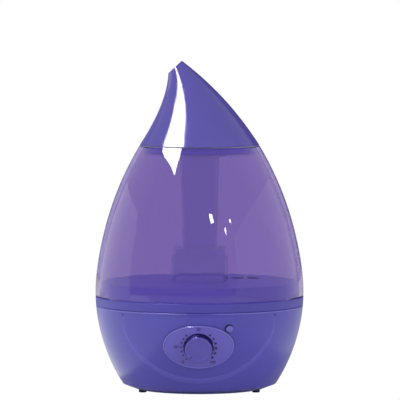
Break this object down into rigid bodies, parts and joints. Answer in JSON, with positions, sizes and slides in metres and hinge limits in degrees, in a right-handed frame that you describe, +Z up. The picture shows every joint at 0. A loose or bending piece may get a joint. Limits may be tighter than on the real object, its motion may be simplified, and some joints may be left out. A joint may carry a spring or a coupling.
{
  "type": "cool mist humidifier",
  "caption": "Teardrop cool mist humidifier: bowl base with a front dial, clear lift-off water tank and a turning, bent mist nozzle.",
  "frame": {"origin": "on the floor, on the vertical axis of the body", "axes": "+Z up, -Y out of the front where the dial is, +X to the dial's right; the nozzle bends towards -X"},
  "size_m": [0.217, 0.2215, 0.344],
  "materials": {
    "body_plastic": "glossy violet, moulded",
    "nozzle_plastic": "glossy violet, moulded",
    "dial_plastic": "satin violet, slightly darker",
    "knob_plastic": "satin violet",
    "tank_plastic": "clear tinted violet, polished",
    "pan_plastic": "clear tinted violet",
    "tube_plastic": "clear tinted violet",
    "deck_plastic": "violet",
    "cover_plastic": "matte violet",
    "cap_plastic": "satin violet",
    "float_plastic": "white",
    "lens_plastic": "milky violet",
    "lamp_plastic": "clear lamp",
    "dark_rubber": "matte",
    "light_rubber": "silicone, satin",
    "zinc_steel": "zinc-plated",
    "nickel_steel": "nickel-plated",
    "brass_nut": "turned",
    "anodised_aluminium": "satin",
    "piezo_ceramic": "fired, with a thin metal film",
    "circuit_board": "green solder mask",
    "black_plastic": "matte black",
    "copper_wire": "enamelled copper",
    "transformer_core": "dark ferrite",
    "capacitor_sleeve": "dark blue sleeve"
  },
  "bodies": {
    "base": {"base_shell": "body_plastic", "base_deck": "deck_plastic", "water_basin": "deck_plastic", "valve_post": "deck_plastic", "float_post": "deck_plastic", "bottom_cover": "cover_plastic", "rubber_feet": "dark_rubber", "cover_screws": "zinc_steel", "deck_screws": "zinc_steel", "cord_gland": "dark_rubber", "dial_bezel": "dial_plastic", "potentiometer": "nickel_steel", "potentiometer_nut": "brass_nut", "indicator_lens": "lens_plastic", "indicator_lamp": "lamp_plastic", "indicator_board": "circuit_board", "transducer_disc": "piezo_ceramic", "transducer_seal": "light_rubber", "transducer_clamp": "anodised_aluminium", "clamp_screws": "zinc_steel", "mist_chamber": "deck_plastic", "fan_hood": "deck_plastic", "air_riser": "deck_plastic", "fan_frame": "black_plastic", "fan_windings": "copper_wire", "fan_screws": "zinc_steel", "driver_board": "circuit_board", "board_screws": "zinc_steel", "heat_sink": "anodised_aluminium", "board_transformer": "transformer_core", "board_capacitors": "capacitor_sleeve", "float_clip": "zinc_steel"},
    "knob": {"control_knob": "knob_plastic", "knob_shaft": "nickel_steel"},
    "fan": {"fan_rotor": "black_plastic"},
    "float": {"float_ring": "float_plastic"},
    "tank": {"tank_shell": "tank_plastic", "tank_pan": "pan_plastic", "mist_hub": "tube_plastic", "mist_tube": "tube_plastic"},
    "fill_cap": {"fill_cap": "cap_plastic", "fill_cap_seal": "light_rubber", "valve_cage": "cap_plastic", "valve_spring": "zinc_steel"},
    "valve": {"valve_plunger": "float_plastic", "valve_seal": "light_rubber"},
    "collar": {"nozzle_collar": "tube_plastic"},
    "nozzle": {"nozzle_cap": "nozzle_plastic", "nozzle_seal": "light_rubber"}
  },
  "joints": [
    {"name": "knob_turn", "type": "hinge", "parent": "base", "child": "knob", "pos_m": [0, -0.10133, 0.0546], "axis": [0, 0.9588, 0.284], "range_deg": [0, 263]},
    {"name": "fan_spin", "type": "hinge", "parent": "base", "child": "fan", "pos_m": [0, 0.023, 0.015], "axis": [0, 0, 1], "continuous": true},
    {"name": "float_rise", "type": "slide", "parent": "base", "child": "float", "axis": [0, 0, 1], "range_m": [0, 0.008]},
    {"name": "tank_lift", "type": "slide", "parent": "base", "child": "tank", "axis": [0, 0, 1], "range_m": [0, 0.13]},
    {"name": "fill_cap_turn", "type": "hinge", "parent": "tank", "child": "fill_cap", "pos_m": [0.048, 0.04, 0.1], "axis": [0, 0, -1], "range_deg": [0, 60]},
    {"name": "valve_close", "type": "slide", "parent": "fill_cap", "child": "valve", "axis": [0, 0, -1], "range_m": [0, 0.004], "deforming": ["valve_spring"]},
    {"name": "nozzle_lift", "type": "slide", "parent": "tank", "child": "collar", "axis": [0, 0, 1], "range_m": [0, 0.06]},
    {"name": "nozzle_turn", "type": "hinge", "parent": "collar", "child": "nozzle", "pos_m": [0, 0, 0.256], "axis": [0, 0, 1], "continuous": true}
  ],
  "couplings": [
    {"joint": "valve_close", "follows": "tank_lift", "ratio": 0.030769}
  ]
}
